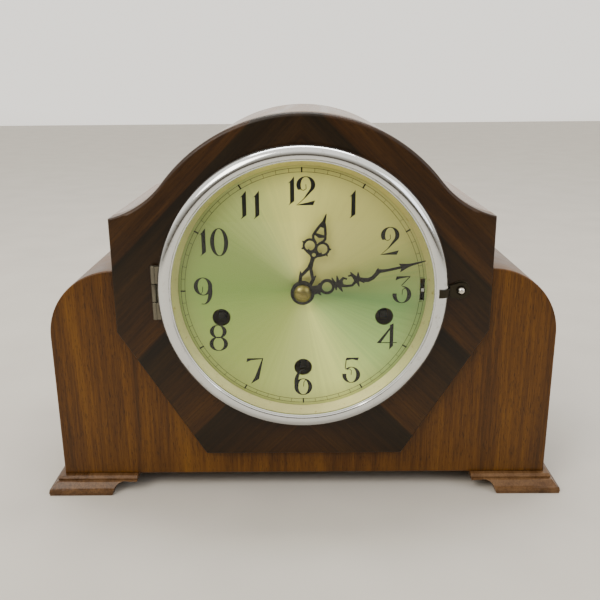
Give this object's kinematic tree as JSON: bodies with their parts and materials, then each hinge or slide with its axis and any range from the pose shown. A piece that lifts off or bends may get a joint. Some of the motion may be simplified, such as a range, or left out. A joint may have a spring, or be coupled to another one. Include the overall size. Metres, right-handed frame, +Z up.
{
  "type": "mantel clock",
  "caption": "Wooden arched mantel clock with raised front panel, domed glass door, round dial, two hands, three winding squares, chime movement, pendulum and rear door.",
  "frame": {"origin": "middle of the bounding box in X and Y, at its base, which is the surface the feet stand on", "axes": "+Z up, +Y to the back (the dial faces -Y), +X to the right of someone facing the dial"},
  "size_m": [0.3148, 0.164, 0.2288],
  "materials": {
    "walnut_veneer": "honey-brown straight-grained veneer, glossy lacquer",
    "dark_walnut_veneer": "deep brown book-matched veneer, glossy lacquer",
    "roof_veneer": "bent veneer, glossy lacquer",
    "foot_wood": "stained hardwood moulding, lacquered",
    "plywood": "stained plywood",
    "softwood": "plain pine",
    "silvered_dial": "silvered brass with a brushed sunburst, lacquered",
    "brass": "rolled brass, lacquered",
    "chrome_plate": "chromium plate, lightly scratched",
    "gilt_brass": "gilt brass",
    "dial_glass": "clear domed glass",
    "bronzed_brass": "dark bronzed strip",
    "nickel_plate": "nickel plate",
    "black_enamel": "black lacquered steel",
    "steel": "polished steel",
    "cast_iron": "black painted casting",
    "rod_bronze": "drawn bronze rod"
  },
  "bodies": {
    "case": {"front_board": "walnut_veneer", "raised_panel": "dark_walnut_veneer", "arch_roof": "roof_veneer", "left_side": "walnut_veneer", "right_side": "walnut_veneer", "base_board": "plywood", "back_panel": "plywood", "left_foot": "foot_wood", "right_foot": "foot_wood", "foot_screws": "steel", "corner_blocks": "softwood", "dial_plate": "silvered_dial", "dial_feet": "brass", "bezel_base": "chrome_plate", "bezel_base_screws": "brass", "bezel_hinge_pin": "chrome_plate", "catch_plate": "bronzed_brass", "catch_stud": "nickel_plate", "front_plate": "brass", "back_plate": "brass", "plate_pillars": "brass", "pillar_nuts": "steel", "movement_posts": "steel", "movement_screws": "steel", "ratchet_clicks": "steel", "gong_block": "cast_iron", "chime_rods": "rod_bronze", "gong_screws": "steel", "hammer_arbor": "steel", "rear_hinge_leaf": "brass", "rear_hinge_pin": "steel"},
    "bezel_door": {"bezel_ring": "chrome_plate", "sight_ring": "gilt_brass", "dial_glass": "dial_glass", "bezel_tab": "bronzed_brass"},
    "back_door": {"rear_door": "plywood", "rear_knob": "brass", "rear_door_knuckles": "brass"},
    "minute_train": {"minute_hand": "black_enamel", "hand_nut": "brass", "centre_arbor": "brass", "cannon_pinion": "brass"},
    "minute_wheel_set": {"minute_wheel": "brass"},
    "hour_train": {"hour_hand": "black_enamel", "hour_wheel": "brass"},
    "second_wheel_set": {"second_wheel": "brass"},
    "third_wheel_set": {"third_wheel": "brass"},
    "escape_wheel_set": {"escape_wheel": "brass"},
    "time_barrel_set": {"time_barrel": "brass"},
    "strike_barrel_set": {"strike_barrel": "brass"},
    "chime_barrel_set": {"chime_barrel": "brass"},
    "time_winding": {"time_arbor": "steel"},
    "strike_winding": {"strike_arbor": "steel"},
    "chime_winding": {"chime_arbor": "steel"},
    "silencer": {"silent_lever": "steel"},
    "pendulum_set": {"pendulum": "brass"},
    "hammer_a": {"hammer_1": "brass"},
    "hammer_b": {"hammer_2": "brass"},
    "hammer_c": {"hammer_3": "brass"},
    "hammer_d": {"hammer_4": "brass"}
  },
  "joints": [
    {"name": "bezel_swing", "type": "hinge", "parent": "case", "child": "bezel_door", "pos_m": [-0.0842, -0.0729, 0.13], "axis": [0, 0, -1], "range_deg": [0, 110]},
    {"name": "rear_door_swing", "type": "hinge", "parent": "case", "child": "back_door", "pos_m": [-0.06, 0.0754, 0.12], "axis": [0, 0, 1], "range_deg": [0, 110]},
    {"name": "minute_turn", "type": "hinge", "parent": "case", "child": "minute_train", "pos_m": [0, -0.065, 0.13], "axis": [0, 1, 0], "continuous": true},
    {"name": "minute_wheel_turn", "type": "hinge", "parent": "case", "child": "minute_wheel_set", "pos_m": [-0.00848, -0.055, 0.13848], "axis": [0, 1, 0], "continuous": true},
    {"name": "hour_turn", "type": "hinge", "parent": "case", "child": "hour_train", "pos_m": [0, -0.065, 0.13], "axis": [0, 1, 0], "continuous": true},
    {"name": "second_wheel_turn", "type": "hinge", "parent": "case", "child": "second_wheel_set", "pos_m": [-0.0101, -0.035, 0.10911], "axis": [0, 1, 0], "continuous": true},
    {"name": "third_wheel_turn", "type": "hinge", "parent": "case", "child": "third_wheel_set", "pos_m": [0, -0.035, 0.148], "axis": [0, 1, 0], "continuous": true},
    {"name": "escape_wheel_turn", "type": "hinge", "parent": "case", "child": "escape_wheel_set", "pos_m": [0, -0.035, 0.1648], "axis": [0, 1, 0], "continuous": true},
    {"name": "time_barrel_turn", "type": "hinge", "parent": "case", "child": "time_barrel_set", "pos_m": [0, -0.035, 0.083], "axis": [0, 1, 0], "continuous": true},
    {"name": "strike_barrel_turn", "type": "hinge", "parent": "case", "child": "strike_barrel_set", "pos_m": [-0.047, -0.035, 0.114], "axis": [0, 1, 0], "continuous": true},
    {"name": "chime_barrel_turn", "type": "hinge", "parent": "case", "child": "chime_barrel_set", "pos_m": [0.047, -0.035, 0.114], "axis": [0, 1, 0], "continuous": true},
    {"name": "time_wind", "type": "hinge", "parent": "case", "child": "time_winding", "pos_m": [0, -0.065, 0.083], "axis": [0, 1, 0], "continuous": true},
    {"name": "strike_wind", "type": "hinge", "parent": "case", "child": "strike_winding", "pos_m": [-0.047, -0.065, 0.114], "axis": [0, 1, 0], "continuous": true},
    {"name": "chime_wind", "type": "hinge", "parent": "case", "child": "chime_winding", "pos_m": [0.047, -0.065, 0.114], "axis": [0, 1, 0], "continuous": true},
    {"name": "silencer_tilt", "type": "hinge", "parent": "case", "child": "silencer", "pos_m": [0.038, -0.055, 0.13], "axis": [0, 1, 0], "range_deg": [-6, 6]},
    {"name": "pendulum_swing", "type": "hinge", "parent": "case", "child": "pendulum_set", "pos_m": [0, -0.007, 0.1774], "axis": [0, 1, 0], "range_deg": [-4, 4]},
    {"name": "hammer_a_lift", "type": "hinge", "parent": "case", "child": "hammer_a", "pos_m": [-0.062, 0.011, 0.06], "axis": [0, 1, 0], "range_deg": [-2, 14], "stiffness_Nm_per_rad": 0.2, "springref_deg": 0.83},
    {"name": "hammer_b_lift", "type": "hinge", "parent": "case", "child": "hammer_b", "pos_m": [-0.062, 0.02, 0.06], "axis": [0, 1, 0], "range_deg": [-2, 14], "stiffness_Nm_per_rad": 0.2, "springref_deg": 0.83},
    {"name": "hammer_c_lift", "type": "hinge", "parent": "case", "child": "hammer_c", "pos_m": [-0.062, 0.029, 0.06], "axis": [0, 1, 0], "range_deg": [-2, 14], "stiffness_Nm_per_rad": 0.2, "springref_deg": 0.83},
    {"name": "hammer_d_lift", "type": "hinge", "parent": "case", "child": "hammer_d", "pos_m": [-0.062, 0.038, 0.06], "axis": [0, 1, 0], "range_deg": [-2, 14], "stiffness_Nm_per_rad": 0.2, "springref_deg": 0.83}
  ],
  "couplings": [
    {"joint": "minute_wheel_turn", "follows": "minute_turn", "ratio": -0.33333},
    {"joint": "hour_turn", "follows": "minute_turn", "ratio": 0.083333},
    {"joint": "second_wheel_turn", "follows": "minute_turn", "ratio": -0.20833},
    {"joint": "time_barrel_turn", "follows": "minute_turn", "ratio": 0.034722},
    {"joint": "third_wheel_turn", "follows": "minute_turn", "ratio": -5},
    {"joint": "escape_wheel_turn", "follows": "minute_turn", "ratio": 25}
  ]
}
